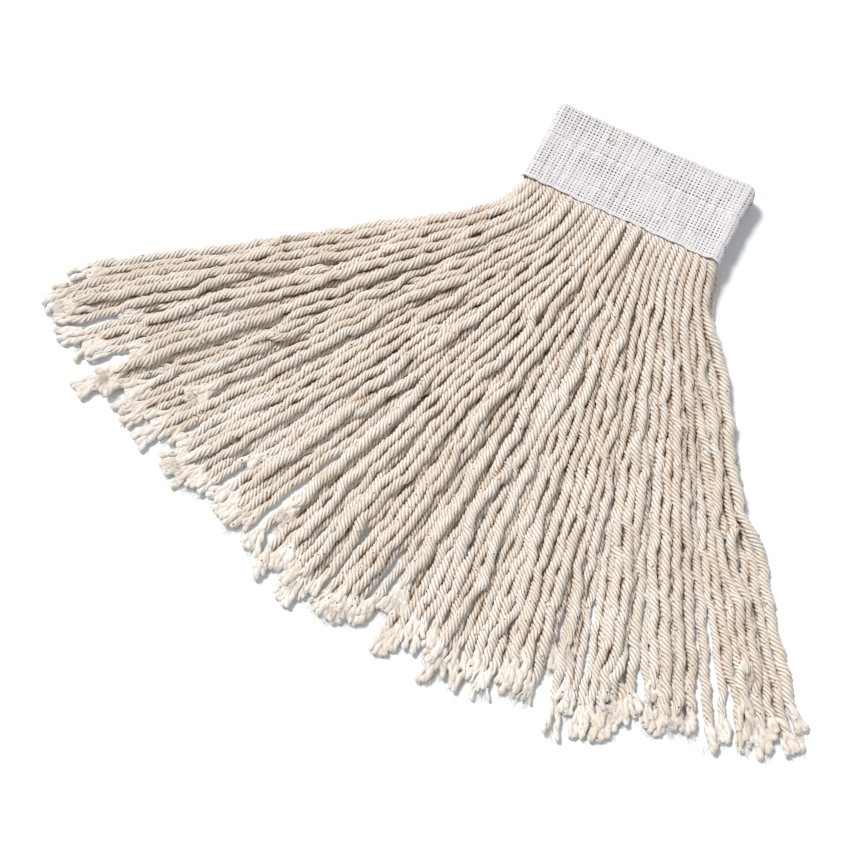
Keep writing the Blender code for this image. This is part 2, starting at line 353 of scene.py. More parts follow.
class Look:
    """A new material. Each method adds one node and gives its output."""

    def __init__(self, name):
        self.material = bpy.data.materials.new(name)
        self.material.use_nodes = True
        self.nodes, self.links = self.material.node_tree.nodes, self.material.node_tree.links
        self.shader = self.nodes["Principled BSDF"]

    def join(self, given, socket):
        """Links an output to a socket, or sets the socket to a number or a colour."""
        if isinstance(given, bpy.types.NodeSocket):
            self.links.new(given, socket)
        elif isinstance(given, tuple):
            socket.default_value = (*given[:3], 1.0)
        elif given is not None:
            socket.default_value = given

    def finish(self, colour, **settings):
        """Gives the shader its colour and its constants, named with underscores for spaces."""
        self.join(colour, self.shader.inputs["Base Color"])
        for name, value in settings.items():
            self.join(value, self.shader.inputs[name.replace("_", " ")])
        return self.material

    def uv(self, *scale):
        """The surface's own coordinates, stretched by a scale along each axis if one is given."""
        source = self.nodes.new("ShaderNodeUVMap").outputs["UV"]
        if not scale:
            return source
        mapping = self.nodes.new("ShaderNodeMapping")
        mapping.inputs["Scale"].default_value = scale
        self.links.new(source, mapping.inputs["Vector"])
        return mapping.outputs["Vector"]

    def place(self):
        """The object's coordinates in metres."""
        return self.nodes.new("ShaderNodeTexCoord").outputs["Object"]

    def stored(self, name):
        """A number stored at each point of the mesh."""
        made = self.nodes.new("ShaderNodeAttribute")
        made.attribute_name = name
        return made.outputs["Fac"]

    def split(self, vector):
        """The three parts of a vector."""
        made = self.nodes.new("ShaderNodeSeparateXYZ")
        self.links.new(vector, made.inputs[0])
        return made.outputs

    def noise(self, vector, scale, detail=3.0, roughness=0.55):
        """Smooth noise, 0 to 1."""
        made = self.nodes.new("ShaderNodeTexNoise")
        made.inputs["Scale"].default_value = scale
        made.inputs["Detail"].default_value = detail
        made.inputs["Roughness"].default_value = roughness
        self.links.new(vector, made.inputs["Vector"])
        return made.outputs["Fac"]

    def ramp(self, value, low, high):
        """0 below low, 1 above high."""
        made = self.nodes.new("ShaderNodeMapRange")
        made.interpolation_type = "SMOOTHSTEP"
        made.inputs["From Min"].default_value = low
        made.inputs["From Max"].default_value = high
        self.links.new(value, made.inputs["Value"])
        return made.outputs["Result"]

    def sum(self, operation, a, b=None):
        """A sum of two outputs or numbers, or a function of one."""
        made = self.nodes.new("ShaderNodeMath")
        made.operation = operation
        self.join(a, made.inputs[0])
        self.join(b, made.inputs[1])
        return made.outputs[0]

    def added(self, a, b, share):
        """a + share b"""
        return self.sum("ADD", a, self.sum("MULTIPLY", b, share))

    def mixed(self, share, first, second):
        """One colour, or another where share is 1."""
        made = self.nodes.new("ShaderNodeMix")
        made.data_type = "RGBA"
        self.links.new(share, made.inputs["Factor"])
        self.join(first, made.inputs[6])
        self.join(second, made.inputs[7])
        return made.outputs[2]

    def bump(self, height, distance, strength):
        """A bump of a real height in metres."""
        made = self.nodes.new("ShaderNodeBump")
        made.inputs["Distance"].default_value = distance
        made.inputs["Strength"].default_value = strength
        self.links.new(height, made.inputs["Height"])
        self.links.new(made.outputs["Normal"], self.shader.inputs["Normal"])


def cotton(name, light, dark, painted_groove_shade, fleck, flecks=True):
    """Matt, unbleached cotton: fibres run along the plies, some streaks are darker, the grooves and the
    crevices between yarns get painted shade in a warm brown, and bits of seed husk show as dark flecks."""
    look = Look(name)
    place = look.place()
    both = look.sum("MULTIPLY", look.noise(look.uv(26.0, 160.0, 1.0), 1.0, 4.0, 0.6), look.noise(place, 60.0))
    level = look.added(both, look.stored("tone"), 0.14)
    colour = look.mixed(look.ramp(level, 0.14, 0.50), tuple(dark), tuple(light))
    lumps = look.noise(place, 850.0, 4.0, 0.65)
    # Painted shade: where the unshaded value is low, in grooves and crevices, the colour goes to the groove
    # shade brown.
    uneven = look.added(look.stored("raised"), look.sum("SUBTRACT", lumps, 0.5), 0.55)
    colour = look.mixed(look.ramp(uneven, 0.02, 0.88), tuple(painted_groove_shade), colour)
    if flecks:
        cells = look.nodes.new("ShaderNodeTexVoronoi")
        cells.inputs["Scale"].default_value = 300.0
        look.links.new(place, cells.inputs["Vector"])
        near = look.sum("LESS_THAN", cells.outputs["Distance"], 0.20)
        parts = look.nodes.new("ShaderNodeSeparateColor")
        look.links.new(cells.outputs["Color"], parts.inputs[0])
        few = look.sum("GREATER_THAN", parts.outputs[0], 0.83)
        colour = look.mixed(look.sum("MULTIPLY", near, few), colour, tuple(fleck))
    fibres = look.noise(look.uv(40.0, 420.0, 1.0), 1.0, 5.0, 0.7)
    look.bump(look.added(lumps, fibres, 0.45), 0.0011, 0.85)
    return look.finish(colour, Roughness=0.95, Specular_IOR_Level=0.1, Sheen_Weight=0.12,
                       Sheen_Roughness=0.6, Sheen_Tint=(1.0, 0.96, 0.88))


def tape_cloth(name, colour, shade):
    """Open-mesh tape: chain stitches run along the yarn between the holes, some threads are duller, and
    the tape along the fold is darkened with painted shade."""
    look = Look(name)
    across, along, _ = look.split(look.uv())
    inside = look.sum("FRACT", look.sum("ADD", across, 0.5))
    slant = look.sum("ABSOLUTE", look.sum("SUBTRACT", inside, 0.5))
    chain = look.added(look.sum("MULTIPLY", along, 3.0), slant, 2.4)
    wave = look.sum("SINE", look.sum("MULTIPLY", chain, 2 * math.pi))
    look.bump(look.added(look.noise(look.uv(14.0, 3.0, 1.0), 1.0, 4.0, 0.65), wave, 0.35), 0.00028, 0.9)
    wear = look.noise(look.uv(0.55, 0.045, 1.0), 1.0, 3.0, 0.6)
    specks = look.noise(look.place(), 900.0, 3.0, 0.7)
    level = look.added(look.sum("MULTIPLY", wear, 0.75), specks, 0.35)
    # Duller threads from the wear noise, plus painted shade near the fold from the stored tone.
    wear_and_fold_shade = look.ramp(look.added(level, look.stored("tone"), 0.22), 0.42, 0.74)
    return look.finish(look.mixed(wear_and_fold_shade, tuple(colour), tuple(shade)), Roughness=0.62,
                       Specular_IOR_Level=0.35, Sheen_Weight=0.15)


def sewing_thread(name, colour):
    """Smooth spun thread with its twist as fine slanted lines."""
    look = Look(name)
    across, along, _ = look.split(look.uv())
    turns = look.added(look.sum("MULTIPLY", across, 2.0), along, 1300.0)
    look.bump(look.sum("SINE", look.sum("MULTIPLY", turns, 2 * math.pi)), 0.00008, 0.8)
    tint = look.ramp(look.noise(look.place(), 400.0), 0.4, 0.75)
    darker = tuple(0.78 * part for part in colour)
    return look.finish(look.mixed(tint, tuple(colour), darker), Roughness=0.5, Sheen_Weight=0.2)


# The yarn ends


def planned_routes(shares, reaches, rng, wander):
    """(x, y) of each end's route before it settles: the fan's heading plus slow strays.

    Heading at reach r is turn * ease((r - straight) / bend) + strays, where turn grows evenly from the
    fan's left to its right, and a route is the running sum of (sin heading, -cos heading).
    """
    count = len(shares)
    turn = FAN_MIDDLE + shares * FAN_HALF_ANGLE + rng.normal(0, 0.020, count)
    fine = np.linspace(0, reaches.max(), 400)
    stray = np.zeros((count, fine.size))
    for longest, strength in ((0.34, 0.45), (0.15, 0.8), (0.070, 0.9)):
        wave = longest * rng.uniform(0.8, 1.25, (count, 1))
        phase = rng.random((count, 1))
        amount = strength * wander * rng.uniform(0.25, 1.0, (count, 1))
        stray += amount * np.sin(2 * np.pi * (fine / wave + phase))
    heading = turn[:, None] * ease((fine - STRAIGHT_RUN) / BEND_RUN) + stray * ease((fine - 0.012) / 0.09)
    step = fine[1] - fine[0]
    x = shares[:, None] * MOUTH_HALF_WIDTH + np.cumsum(np.sin(heading), 1) * step
    y = HINGE_Y - np.cumsum(np.cos(heading), 1) * step
    routes = np.zeros((count, reaches.shape[1], 2))
    for i in range(count):
        outside = reaches[i] > 0
        routes[i, :, 0] = np.where(outside, np.interp(reaches[i], fine, x[i]), shares[i] * MOUTH_HALF_WIDTH)
        routes[i, :, 1] = np.where(outside, np.interp(reaches[i], fine, y[i]), HINGE_Y - reaches[i])
    return routes


def near_pairs(points, yarn_of, reach):
    """Numbers of the points of different yarns that lie within reach: each cell of a grid in plan is
    compared with itself and four of its neighbours."""
    cells = np.floor(points[:, :2] / reach).astype(np.int64)
    cells -= cells.min(0)
    wide = cells[:, 1].max() + 3
    keys = cells[:, 0] * wide + cells[:, 1]
    order = np.argsort(keys, kind="stable")
    ordered = keys[order]
    found = []
    for step in (0, 1, wide - 1, wide, wide + 1):
        low = np.searchsorted(ordered, keys + step, "left")
        many = np.searchsorted(ordered, keys + step, "right") - low
        first = np.repeat(np.arange(len(points)), many)
        offset = np.arange(many.sum()) - np.repeat(np.cumsum(many) - many, many)
        second = order[np.repeat(low, many) + offset]
        keep = yarn_of[first] != yarn_of[second]
        if step == 0:
            keep &= first < second
        first, second = first[keep], second[keep]
        close = ((points[first] - points[second]) ** 2).sum(1) < reach * reach
        found.append(np.stack([first[close], second[close]]))
    return np.concatenate(found, 1)


def settled(points, plan, spacing, diameters, held, heights, rounds):
    """The yarns after they fall and come to rest on the floor and on each other.

    Each round every point sinks a little, leans back towards its plan, moves towards the middle of its
    neighbours, and is pushed off the points of other yarns nearer than a diameter; then each yarn's points
    are put back their spacing apart, from the mouth outwards.
    """
    count, along = points.shape[:2]
    yarn_of = np.repeat(np.arange(count), along)
    thick = diameters.ravel()
    free = ~held
    for step in range(rounds):
        sinking = 0.00013 if step < rounds - 40 else 0.00005
        points[:, free, 2] -= sinking
        points[:, free, :2] += 0.016 * (plan[:, free] - points[:, free, :2])
        middle = (points[:, :-2] + points[:, 2:]) / 2
        points[:, 1:-1][:, free[1:-1]] += 0.22 * (middle - points[:, 1:-1])[:, free[1:-1]]
        flat = points.reshape(-1, 3)
        if step % 8 == 0:
            a, b = near_pairs(flat, yarn_of, 0.0092)
            want = (thick[a] + thick[b]) / 2
        gap = flat[a] - flat[b]
        distance = np.maximum(np.linalg.norm(gap, axis=1), 1e-6)
        push = np.maximum(want - distance, 0)
        near = push > 0
        move = gap[near] * (0.28 * push[near] / distance[near])[:, None]
        for k in range(3):
            flat[:, k] += np.bincount(a[near], move[:, k], len(flat))
            flat[:, k] -= np.bincount(b[near], move[:, k], len(flat))
        points = flat.reshape(count, along, 3)
        points[..., 2] = np.maximum(points[..., 2], diameters * 0.47)
        points[:, held] = np.concatenate([plan[:, held], points[:, held, 2:]], -1)
        points[:, held, 2] = heights[:, None]
        for k in range(int(held.sum()), along):
            reach = points[:, k] - points[:, k - 1]
            points[:, k] = points[:, k - 1] + reach * (spacing / np.linalg.norm(reach, axis=1))[:, None]
    return points


def crevices(points, diameters):
    """How near another yarn is in each of CREVICE_WAYS directions round each point, from 0 to 1; it sets the
    painted shade between yarns.

    A neighbour at distance d in direction p counts (1.5 D - d) / (0.5 D), cut to 0..1, and spreads over
    the directions a as exp(-((a - p) / 0.6)^2); the strongest neighbour is kept.
    """
    count, along = points.shape[:2]
    flat, thick = points.reshape(-1, 3), diameters.ravel()
    frames = [frames_along(line) for line in points]
    side_way = np.concatenate([frame[1] for frame in frames])
    up_way = np.concatenate([frame[2] for frame in frames])
    a, b = near_pairs(flat, np.repeat(np.arange(count), along), 0.0105)
    a, b = np.concatenate([a, b]), np.concatenate([b, a])
    gap = flat[b] - flat[a]
    way = np.arctan2((gap * up_way[a]).sum(1), (gap * side_way[a]).sum(1))
    size = (thick[a] + thick[b]) / 2
    near = np.clip((1.5 * size - np.linalg.norm(gap, axis=1)) / (0.5 * size), 0, 1)
    found = np.zeros((len(flat), CREVICE_WAYS))
    for k in range(CREVICE_WAYS):
        off = np.abs((2 * np.pi * k / CREVICE_WAYS - way + np.pi) % (2 * np.pi) - np.pi)
        np.maximum.at(found[:, k], a, near * np.exp(-((off / 0.6) ** 2)))
    return found.reshape(count, along, CREVICE_WAYS)


def lay_out_yarns(yarn):
    """Every yarn end as a dict: its layer, bundle, line of points from inside the mouth, diameter, tone and
    seed."""
    rng = np.random.default_rng(yarn.seed)
    layers, shares, heights = [], [], []
    per_row = yarn.ends_per_row
    inside = (LOWER_TOP - 0.003) / 4
    for layer, middle in (("lower", LOWER_MIDDLE), ("upper", UPPER_MIDDLE)):
        for row in (0, 1):
            stagger = (0.25 if row else -0.25) + rng.uniform(-0.12, 0.12, per_row)
            row_shares = -1 + 2 * (np.arange(per_row) + 0.5 + stagger) / per_row
            shares.append(np.clip(row_shares, -0.985, 0.985))
            heights.append(np.full(per_row, middle + (inside if row else -inside)))
            layers += [layer] * per_row
    shares, heights = np.concatenate(shares), np.concatenate(heights)
    count = len(shares)
    short = np.where(rng.random(count) < 0.14, rng.uniform(0.012, 0.040, count), 0.0)
    lengths = INSIDE_RUN + YARN_REACH - rng.uniform(0.006, 0.024, count) - short
    lengths += 0.011 * ease((-shares - 0.5) / 0.4)
    reaches = np.linspace(0, 1, YARN_LINKS + 1)[None, :] * lengths[:, None] - INSIDE_RUN
    plan = planned_routes(shares, reaches, rng, yarn.wander)
    lift = np.broadcast_to(heights[:, None, None], (*plan.shape[:2], 1))
    points = np.concatenate([plan, lift], -1).copy()
    held = reaches[0] < -0.003
    thick = yarn.diameter * np.clip(rng.normal(1, 0.08, count), 0.85, 1.16)
    diameters = thick[:, None] * (0.50 + 0.44 * ease((reaches + 0.0075) / 0.012))
    rounds = SETTLING_ROUNDS
    points = settled(points, plan, lengths / YARN_LINKS, diameters, held, heights, rounds)
    halves = (slice(0, count // 2), slice(count // 2, count))
    crowded = np.concatenate([crevices(points[half], diameters[half]) for half in halves])
    shift = {"lower": -LAYER_SHIFT, "upper": LAYER_SHIFT}
    ends = []
    for i in range(count):
        inner = [-1 + 2 * k / BUNDLES + shift[layers[i]] for k in range(1, BUNDLES)]
        ends.append({
            "layer": layers[i], "bundle": int(np.searchsorted(inner, shares[i])) + 1,
            "line": limp(respaced(points[i], RING_STEP), rng), "seed": 1000 + i,
            "crevices": crowded[i], "diameter": thick[i], "tone": float(rng.normal(0.5, 0.22)),
        })
    return ends


def add_yarn(shell, end, yarn):
    """One yarn end: a twisted tube, pressed flat in the mouth, thick and thin along its length, whose
    twist slackens over its last stretch."""
    rng = np.random.default_rng(end["seed"])
    line = end["line"]
    _, side_way, up_way = frames_along(line)
    at = np.linspace(0, 1, len(line)) * (len(line) - 1) * RING_STEP
    left = at[-1] - at
    radius = end["diameter"] / 2 * (1 + 0.085 * ripple(at, rng, 0.07, 0.014))
    pressed = 0.50 + 0.47 * ease((at - INSIDE_RUN + 0.0075) / 0.012)
    slack = 1 - 0.75 * (1 - ease(left / 0.020))
    pitch = yarn.pitch * rng.uniform(0.92, 1.10) * (1 + 0.12 * ripple(at, rng, 0.12, 0.03))
    turn = 2 * np.pi * np.cumsum(slack / pitch) * RING_STEP + 2 * np.pi * rng.random()
    plump = 1 + 0.11 * np.stack([ripple(at, rng, 0.026, 0.006) for _ in range(yarn.plies)], -1)
    closing = np.sqrt(np.clip((left + 0.0004) / 0.012, 0.02, 1)) * np.sqrt(np.clip(at / 0.003, 0.05, 1))
    sides = PLY_SIDES * yarn.plies
    tone = np.repeat(end["tone"] + 0.18 * ripple(at, rng, 0.12, 0.03), sides)
    groove = yarn.groove * (1.2 - 0.2 * ease(left / 0.05)) * (1 + 0.18 * ripple(at, rng, 0.05, 0.012))
    # Painted shade between yarns: the nearness of other yarns round each ring, read at each point's angle,
    # darkens that side.
    way = (np.arange(sides)[None, :] / sides + turn[:, None] / (2 * np.pi)) % 1 * CREVICE_WAYS
    row = np.linspace(0, len(end["crevices"]) - 1, len(line)).round().astype(int)[:, None]
    before, share = way.astype(int) % CREVICE_WAYS, way % 1
    after = (before + 1) % CREVICE_WAYS
    crevice = end["crevices"][row, before] * (1 - share) + end["crevices"][row, after] * share
    add_tube(shell, line, side_way, up_way, radius * closing, radius * pressed * closing, turn,
             yarn.plies, groove, sides, tone, np.repeat(plump, PLY_SIDES, axis=1), crevice=0.8 * crevice)


def add_tip(shell, end):
    """The cut tip of one yarn, in one of the forms of TIPS. It starts inside the yarn's last stretch."""
    rng = np.random.default_rng(end["seed"] + 500)
    line = end["line"]
    along, _, _ = frames_along(line)
    form = TIPS[rng.choice(["fingers", "brush", "wisps"], p=[0.52, 0.40, 0.08])]
    start = len(line) - 1 - int(rng.uniform(0.011, 0.016) / RING_STEP)
    ahead = unit(along[start:].mean(0) * np.array([1, 1, 0.2]))
    aside = unit(np.cross(ahead, np.array([0.0, 0.0, 1.0])))
    root = line[start]
    length = rng.uniform(0.018, 0.029)
    add_plies(shell, rng, root, ahead, aside, length, form, end["tone"] + 0.12)
    add_fibres(shell, rng, root + 0.72 * length * ahead, ahead, aside, 16, 0.005, end["tone"])


def add_plies(shell, rng, root, ahead, aside, length, form, tone):
    """Parted plies: ply k lies at place c_k from -1 to 1 across the yarn, and after distance s it is off
    the middle by c_k (1.5 mm + part * s), plus b s^2 for the whole tip and its own sway. It swells a little
    and ends round."""
    count = int(rng.integers(*form["count"]))
    part, bend = rng.uniform(*form["part"]), rng.normal(0, 3.5)
    thick = rng.uniform(*form["radius"])
    for k in range(count):
        place = -1 + 2 * (k + 0.5) / count + rng.normal(0, 0.10)
        own = length * (1 + form["uneven"] * rng.uniform(-0.9, 0.3))
        at = own * np.sin(np.linspace(0, np.pi / 2, 22))
        wide = ease(at / (0.55 * length))
        sway = (bend + rng.normal(0, form["loose"])) * at * at + 0.0009 * ripple(at, rng, 0.03, 0.009) * wide
        offset = place * (0.0015 + part * at * wide) + sway
        girth = thick * (0.62 + 0.38 * wide) * (1 + 0.13 * ripple(at, rng, 0.014, 0.004))
        rise = 0.0010 * math.cos(math.pi * place) * (1 - wide) + abs(rng.normal(0, 0.0014)) * wide
        path = root + at[:, None] * ahead + offset[:, None] * aside
        sink = ease(at / (0.9 * length)) * min(max(root[2] - 0.0026, 0.0), 0.0060)
        path[:, 2] = np.maximum(path[:, 2] + rise - sink, 0.0002 + 0.9 * girth)
        head = np.clip((at - own) / (form["blunt"] * thick) + 1, 0, 0.985)
        closing = np.sqrt(1 - head**2) * np.sqrt(np.clip(at / 0.003, 0.1, 1))
        _, path_side, path_up = frames_along(path)
        turn = 2 * np.pi * at / rng.uniform(0.014, 0.022) + rng.random() * 6
        plump = 1 + 0.10 * np.stack([ripple(at, rng, 0.012, 0.004) for _ in range(4)], -1)
        add_tube(shell, path, path_side, path_up, girth * closing, girth * closing * form["flat"], turn,
                 2, 0.20, 12, tone + 0.10 * rng.normal(), np.repeat(plump, 3, axis=1), 0.35)


def add_fibres(shell, rng, origin, ahead, aside, count, width, tone):
    """Fine loose fibres: each is a three-sided hair that sways aside as the square of its length."""
    for _ in range(count):
        long = rng.uniform(0.006, 0.014)
        at = np.linspace(0, long, 6)
        sway, rise = rng.normal(0, 22), rng.uniform(-0.1, 0.22)
        path = origin + rng.uniform(-1, 1) * width * aside + at[:, None] * ahead
        path = path + (rng.normal(0, 0.25) * at + sway * at * at)[:, None] * aside
        path[:, 2] += rise * at - 9 * at * at
        path[:, 2] = np.maximum(path[:, 2], 0.0004)
        _, side_way, up_way = frames_along(path)
        thick = 0.00013 * np.sqrt(np.clip(1 - at / long, 0.05, 1))
        add_tube(shell, path, side_way, up_way, thick, thick, np.zeros(6), 0, 0.0, 3, tone + 0.3)


def add_fuzz(shell, end):
    """Stray fibres along a yarn: each hair leaves its surface and bends back beside it."""
    rng = np.random.default_rng(end["seed"] + 900)
    line = end["line"]
    along, side_way, up_way = frames_along(line)
    for _ in range(HAIRS):
        i = int(rng.uniform(0.12, 0.93) * len(line))
        angle = rng.uniform(-0.4, math.pi + 0.4)
        out = math.cos(angle) * side_way[i] + math.sin(angle) * up_way[i]
        around = -math.sin(angle) * side_way[i] + math.cos(angle) * up_way[i]
        at = np.linspace(0, 1, 7)[:, None]
        high, far = rng.uniform(0.0006, 0.0022), rng.uniform(-0.007, 0.007)
        arc = high * np.sin(np.pi * at * rng.uniform(0.5, 0.95))
        path = line[i] + out * (0.93 * end["diameter"] / 2 + arc)
        path = path + along[i] * far * at + around * rng.uniform(-0.003, 0.003) * at
        path[:, 2] = np.maximum(path[:, 2], 0.0004)
        _, hair_side, hair_up = frames_along(path)
        thick = 0.00011 * np.sqrt(np.clip(1 - at[:, 0], 0.1, 1))
        add_tube(shell, path, hair_side, hair_up, thick, thick, np.zeros(7), 0, 0.0, 3, end["tone"] + 0.3)


def swing_with(piece, layer, bundle):
    """Bakes the piece's placement into its mesh and hides the frame's bundle that it stands for."""
    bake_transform(piece)
    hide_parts(f"{layer}_yarn_bundle_{bundle}")


class MopYarnEnds(bpy.types.Operator):
    """Adds the fan of yarn ends with their tips"""

    bl_idname = "mop.yarn_ends"
    bl_label = "Yarn Ends"

    def execute(self, context):
        yarn = context.scene.mop_yarn
        look = cotton("cotton_yarn", yarn.light, yarn.dark, yarn.painted_groove_shade, yarn.fleck)
        ends = lay_out_yarns(yarn)
        centre = np.array([0.0, LIP_Y])
        reach = [float(np.linalg.norm(end["line"][-1, :2] - centre)) for end in ends]
        furthest = set(np.argsort(reach)[::-1][:MOST_CORDS])
        bundles = {}
        for number, end in enumerate(ends):
            key = (end["layer"], end["bundle"])
            if number not in furthest:
                bundles.setdefault(key, []).append(end)
                continue
            name = f"{end['layer']}_yarn_end_{number + 1:02d}"
            body, tip = Shell(), Shell()
            add_yarn(body, end, yarn)
            add_tip(tip, end)
            add_fuzz(tip, end)
            body, tip = body.piece(name, look), tip.piece(name + "_tip", look)
            swing_with(body, *key)
            swing_with(tip, *key)
            line = end["line"]
            length = float(np.linalg.norm(np.diff(line, axis=0), axis=1).sum())
        for (layer, bundle), members in bundles.items():
            body, tips = Shell(), Shell()
            for end in members:
                add_yarn(body, end, yarn)
                add_tip(tips, end)
                add_fuzz(tips, end)
            swing_with(body.piece(f"{layer}_yarn_ends_{bundle}", look), layer, bundle)
            swing_with(tips.piece(f"{layer}_yarn_tips_{bundle}", look), layer, bundle)
        return {"FINISHED"}


# The headband


def sleeve_outer(along, out):
    """(y, z) of the sleeve's outer side at a length along it from the upper lip, out from its middle line:
    straight back to the fold, a quarter turn about the hinge line, straight down, and the same again."""
    stops = np.cumsum([0, RUN, ARC, DROP, ARC, RUN])
    place = np.interp(along, stops, np.arange(6))
    y = np.interp(place, np.arange(6), [LIP_Y, SPINE_Y, SPINE_Y, SPINE_Y, SPINE_Y, LIP_Y])
    z = np.interp(place, np.arange(6), [UPPER_MIDDLE] * 3 + [LOWER_MIDDLE] * 3)
    turn = np.interp(place, np.arange(6), np.radians([90, 90, 0, 0, -90, -90]))
    return y + out * np.cos(turn), z + out * np.sin(turn)


def sleeve_inner(along, out):
    """(y, z) of the sleeve's inner side, towards the slot: straight back, square down, and forward again,
    with its corners rounded by averaging over a short length."""
    face = SLEEVE_RADIUS
    stops = np.cumsum([0, RUN - face, DROP - 2 * face, RUN - face])
    y, z = 0, 0
    for shift in np.linspace(-0.0016, 0.0016, 5):
        place = np.interp(np.clip(along + shift, 0, stops[-1]), stops, np.arange(4))
        knee = SPINE_Y - out
        ys = [np.full_like(out, LIP_Y), knee, knee, np.full_like(out, LIP_Y)]
        zs = [UPPER_MIDDLE - out, UPPER_MIDDLE - out, LOWER_MIDDLE + out, LOWER_MIDDLE + out]
        whole = np.clip(place.astype(int), 0, 2)
        part = place - whole
        y = y + (np.choose(whole, ys[:3]) * (1 - part) + np.choose(whole, ys[1:]) * part) / 5
        z = z + (np.choose(whole, zs[:3]) * (1 - part) + np.choose(whole, zs[1:]) * part) / 5
    return y, z


SLEEVES = {
    "outer": (sleeve_outer, 2 * RUN + 2 * ARC + DROP),
    "inner": (sleeve_inner, 2 * (RUN - SLEEVE_RADIUS) + DROP - 2 * SLEEVE_RADIUS),
}


def relief(across, from_lip, lower_outer):
    """How far the tape stands out from its plain shape: dips at the seams, gathers beside them, a few
    creases, ribs over the yarns, a rolled ridge along the right side, a flare at the lip and slow waves."""
    flat = 1 - ease((np.abs(across) - 0.066) / 0.007)
    height = 0.0007 * (1 - ease(from_lip / 0.013)) * np.where(lower_outer, 0.0, 1.0)
    for number, seam in enumerate(SEAMS_FROM_LIP):
        off = from_lip - seam
        height = height - 0.0017 * np.exp(-((off / 0.0022) ** 2)) + 0.0005 * np.exp(-((off / 0.0065) ** 2))
        gathers = np.sin(2 * np.pi * across / 0.0092 + 2.2 * np.sin(across * 95 + number) + number)
        height = height + 0.00038 * flat * gathers * np.exp(-((off / 0.0062) ** 2))
    for x, reach, slope in ((0.027, 0.012, 0.55), (-0.048, 0.034, -0.35), (0.052, 0.045, 0.4)):
        crease = np.exp(-(((from_lip - reach - slope * (across - x)) / 0.0012) ** 2))
        height = height + 0.0007 * crease * np.exp(-(((across - x) / 0.012) ** 2))
    ribs = np.abs(np.cos(np.pi * across / RIB_SPACING + 0.6 * np.sin(across * 61)))
    height = height + 0.00042 * flat * (ribs - 0.6)
    slow = np.sin(across * 71 + from_lip * 60) + np.sin(across * 163 - from_lip * 150 + 1.3)
    height = height + 0.00028 * flat * slow
    return height + 0.0006 * np.exp(-(((across - 0.0715) / 0.0014) ** 2))


def tape_point(side, across, along, lift):
    """A point of the tape. Across the flat face x is the distance across. Past it the tape rolls a quarter
    turn of the sleeve's radius, so x gains radius sin(a) and the height is radius cos(a)."""
    path, total = SLEEVES[side]
    from_lip = np.minimum(along, total - along)
    lower_outer = (side == "outer") & (along > total / 2)
    roll = np.clip((np.abs(across) - FLAT_HALF) / SLEEVE_RADIUS, 0, np.pi / 2)
    radius = SLEEVE_RADIUS - 0.0006 + lift + relief(across, from_lip, lower_outer)
    if side == "outer":
        puff = 0.0014 * ease((from_lip - 0.046) / 0.016) + 0.0014 * ease((np.abs(across) - 0.052) / 0.026)
        radius = radius + puff * np.where(along < RUN + 2 * ARC + DROP, 1, 0)
    y, z = path(along, radius * np.cos(roll))
    x = np.sign(across) * (np.minimum(np.abs(across), FLAT_HALF) + radius * np.sin(roll))
    wave = np.sin(across * 511 + 1.6 * np.sin(across * 80)) + np.sin(across * 197 + 2)
    y = y - (0.00035 * wave - 0.0003) * (1 - ease(from_lip / 0.007))
    z = np.maximum(z, 0.00015)
    return np.stack([x, y, z], -1)


def half_width():
    """From the middle of a face round to the edge of the sleeve."""
    return FLAT_HALF + ARC


def hole_sizes(across, from_lip, hole):
    """A mesh hole's size as a share of its cell: uneven, and nearly shut at hems, seams and lips."""
    column = np.sin(across * 911 + 0.7) * np.sin(across * 377 + 2)
    patch = np.sin(across * 83 + from_lip * 97 + 0.7) + np.sin(from_lip * 210 - across * 41)
    size = hole * (1 + 0.20 * column + 0.12 * patch + 0.14 * np.sin(across * 5501 + from_lip * 9301))
    shut = 0.8 * np.exp(-(((across - 0.0722) / 0.0013) ** 4))
    shut = np.maximum(shut, 0.85 * (1 - ease((from_lip - 0.0010) / 0.002)))
    for seam in SEAMS_FROM_LIP:
        shut = np.maximum(shut, 0.6 * np.exp(-(((from_lip - seam) / 0.0013) ** 2)))
    return np.clip(size * (1 - 0.86 * shut), 0.05, 0.8)


